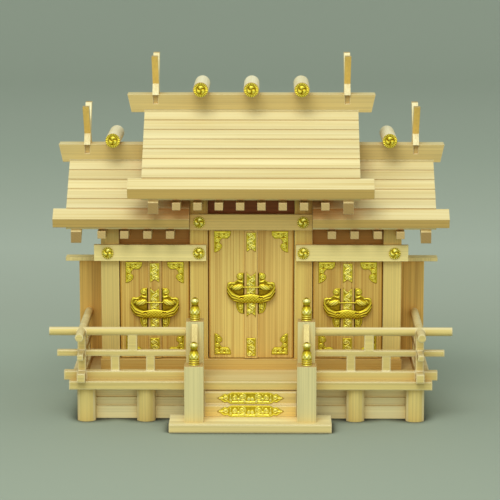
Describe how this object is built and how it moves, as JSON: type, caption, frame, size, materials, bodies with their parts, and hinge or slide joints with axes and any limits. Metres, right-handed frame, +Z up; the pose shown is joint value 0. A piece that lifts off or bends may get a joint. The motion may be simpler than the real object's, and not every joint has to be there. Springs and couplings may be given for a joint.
{
  "type": "household shinto shrine",
  "caption": "Household Shinto shrine of plain cypress with stepped gable roofs, a railed deck, a front stair and doors that swing outward.",
  "frame": {"origin": "middle of the bounding box on the ground plane", "axes": "+X along the front to the viewer's right, +Y to the back, +Z up"},
  "size_m": [0.4414, 0.2594, 0.3945],
  "materials": {
    "hinoki_wood": "planed, unfinished",
    "gilt_brass": "gilt, embossed"
  },
  "bodies": {
    "shrine": {"back_wall_main": "hinoki_wood", "back_walls_side": "hinoki_wood", "bargeboards": "hinoki_wood", "base_back_board": "hinoki_wood", "base_front_board": "hinoki_wood", "base_plank": "hinoki_wood", "base_side_boards": "hinoki_wood", "body_floor": "hinoki_wood", "chigi": "hinoki_wood", "deck": "hinoki_wood", "deck_posts": "hinoki_wood", "head_boards": "hinoki_wood", "lintel_bosses": "gilt_brass", "log_caps": "gilt_brass", "main_eave_boards": "hinoki_wood", "main_lintel": "hinoki_wood", "main_roof_back": "hinoki_wood", "main_roof_front": "hinoki_wood", "pillars": "hinoki_wood", "post_finials": "gilt_brass", "rafters": "hinoki_wood", "railing_left": "hinoki_wood", "railing_right": "hinoki_wood", "ridge_covers": "hinoki_wood", "ridge_logs": "hinoki_wood", "side_eave_boards": "hinoki_wood", "side_lintels": "hinoki_wood", "side_roofs_back": "hinoki_wood", "side_roofs_front": "hinoki_wood", "side_walls": "hinoki_wood", "sill": "hinoki_wood", "stair_handrails": "hinoki_wood", "stair_plates": "gilt_brass", "stair_posts": "hinoki_wood", "stair_steps": "hinoki_wood", "wing_boards": "hinoki_wood"},
    "centre_door_left": {"centre_door_left": "hinoki_wood", "centre_door_left_fittings": "gilt_brass"},
    "centre_door_right": {"centre_door_right": "hinoki_wood", "centre_door_right_fittings": "gilt_brass"},
    "left_door_left": {"left_door_left": "hinoki_wood", "left_door_left_fittings": "gilt_brass"},
    "left_door_right": {"left_door_right": "hinoki_wood", "left_door_right_fittings": "gilt_brass"},
    "right_door_left": {"right_door_left": "hinoki_wood", "right_door_left_fittings": "gilt_brass"},
    "right_door_right": {"right_door_right": "hinoki_wood", "right_door_right_fittings": "gilt_brass"}
  },
  "joints": [
    {"name": "centre_door_left_hinge", "type": "hinge", "parent": "shrine", "child": "centre_door_left", "pos_m": [-0.0446, -0.01725, 0.131], "axis": [0, 0, 1], "range_deg": [-80, 0]},
    {"name": "centre_door_right_hinge", "type": "hinge", "parent": "shrine", "child": "centre_door_right", "pos_m": [0.0446, -0.01725, 0.131], "axis": [0, 0, 1], "range_deg": [0, 80]},
    {"name": "left_door_left_hinge", "type": "hinge", "parent": "shrine", "child": "left_door_left", "pos_m": [-0.1434, -0.01725, 0.1135], "axis": [0, 0, 1], "range_deg": [-75, 0]},
    {"name": "left_door_right_hinge", "type": "hinge", "parent": "shrine", "child": "left_door_right", "pos_m": [-0.0716, -0.01725, 0.1135], "axis": [0, 0, 1], "range_deg": [0, 75]},
    {"name": "right_door_left_hinge", "type": "hinge", "parent": "shrine", "child": "right_door_left", "pos_m": [0.0716, -0.01725, 0.1135], "axis": [0, 0, 1], "range_deg": [-75, 0]},
    {"name": "right_door_right_hinge", "type": "hinge", "parent": "shrine", "child": "right_door_right", "pos_m": [0.1434, -0.01725, 0.1135], "axis": [0, 0, 1], "range_deg": [0, 75]}
  ],
  "couplings": [
    {"joint": "centre_door_left_hinge", "follows": "centre_door_right_hinge", "ratio": -1},
    {"joint": "left_door_left_hinge", "follows": "left_door_right_hinge", "ratio": -1},
    {"joint": "right_door_left_hinge", "follows": "right_door_right_hinge", "ratio": -1}
  ]
}
